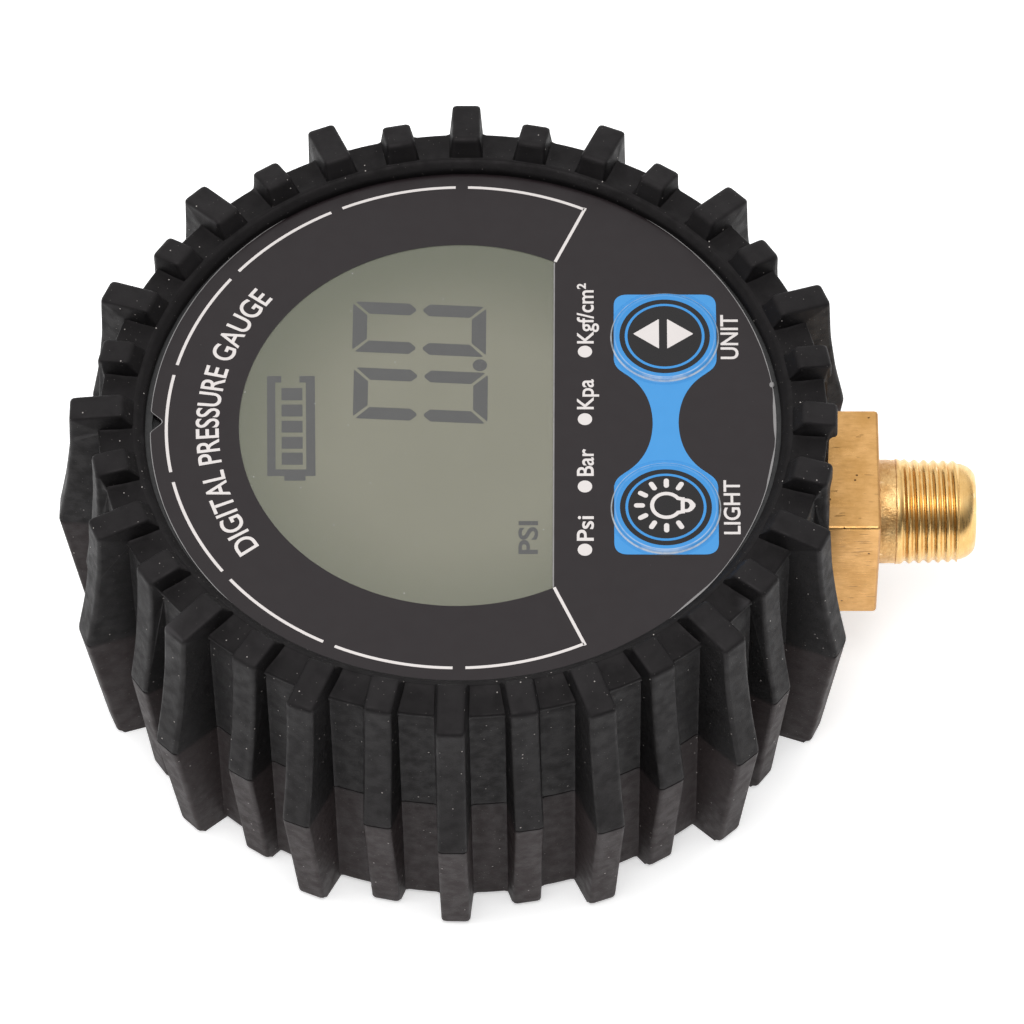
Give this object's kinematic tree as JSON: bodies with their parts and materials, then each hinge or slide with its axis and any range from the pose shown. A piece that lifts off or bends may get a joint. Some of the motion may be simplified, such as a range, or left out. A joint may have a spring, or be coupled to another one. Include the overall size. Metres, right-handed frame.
{
  "type": "digital tire pressure gauge",
  "caption": "Round digital tire pressure gauge in a black rubber tread boot, with a grey display, two film buttons and a brass threaded fitting.",
  "frame": {"origin": "the case's axis in the plane of the back face that the gauge rests on", "axes": "+Z out of the dial, +X along the threaded fitting, towards its tip"},
  "size_m": [0.0896, 0.078, 0.035],
  "materials": {
    "boot_rubber": "matte moulded rubber with a fine grain",
    "case_plastic": "fine spark-eroded texture",
    "overlay_film": "satin printed polyester film",
    "button_dome": "clear embossed film over a blue and black print",
    "key_plastic": "moulded",
    "switch_stem": "moulded",
    "switch_body": "moulded",
    "lcd_glass": "grey-green reflective display behind clear film",
    "white_plastic": "moulded",
    "light_guide": "polished acrylic",
    "led": "moulded lamp",
    "connector_rubber": "layered conductive rubber",
    "circuit_board": "solder mask",
    "chip_black": "moulded",
    "brass": "machined",
    "steel": "plated",
    "seal_rubber": "smooth",
    "ribbon_film": "polyimide film",
    "cell_jacket": "plain printed sleeve",
    "contact_metal": "nickel plated"
  },
  "bodies": {
    "gauge_body": {"rubber_boot": "boot_rubber", "front_case": "case_plastic", "back_case": "case_plastic", "face_overlay": "overlay_film", "unit_switch_body": "switch_body", "light_switch_body": "switch_body", "lcd_panel": "lcd_glass", "lcd_frame": "white_plastic", "backlight_panel": "light_guide", "backlight_led_1": "led", "backlight_led_2": "led", "zebra_strip_1": "connector_rubber", "zebra_strip_2": "connector_rubber", "main_pcb": "circuit_board", "controller_chip": "chip_black", "brass_fitting": "brass", "fitting_nut": "brass", "sensor_body": "steel", "sensor_o_ring": "seal_rubber", "sensor_ribbon": "ribbon_film", "battery_1": "cell_jacket", "battery_2": "cell_jacket", "battery_spring_1": "steel", "battery_spring_2": "steel", "battery_contact_1": "contact_metal", "battery_contact_2": "contact_metal", "battery_link_plate": "contact_metal", "battery_door": "case_plastic", "door_screw": "steel", "case_screw_1": "steel", "case_screw_2": "steel", "case_screw_3": "steel", "case_screw_4": "steel", "pcb_screw_1": "steel", "pcb_screw_2": "steel", "pcb_screw_3": "steel"},
    "unit_press": {"unit_button": "button_dome", "unit_key": "key_plastic", "unit_switch_stem": "switch_stem"},
    "light_press": {"light_button": "button_dome", "light_key": "key_plastic", "light_switch_stem": "switch_stem"}
  },
  "joints": [
    {"name": "unit_press_slide", "type": "slide", "parent": "gauge_body", "child": "unit_press", "axis": [0, 0, -1], "range_m": [0, 0.0005], "stiffness_N_per_m": 1500},
    {"name": "light_press_slide", "type": "slide", "parent": "gauge_body", "child": "light_press", "axis": [0, 0, -1], "range_m": [0, 0.0005], "stiffness_N_per_m": 1500}
  ]
}
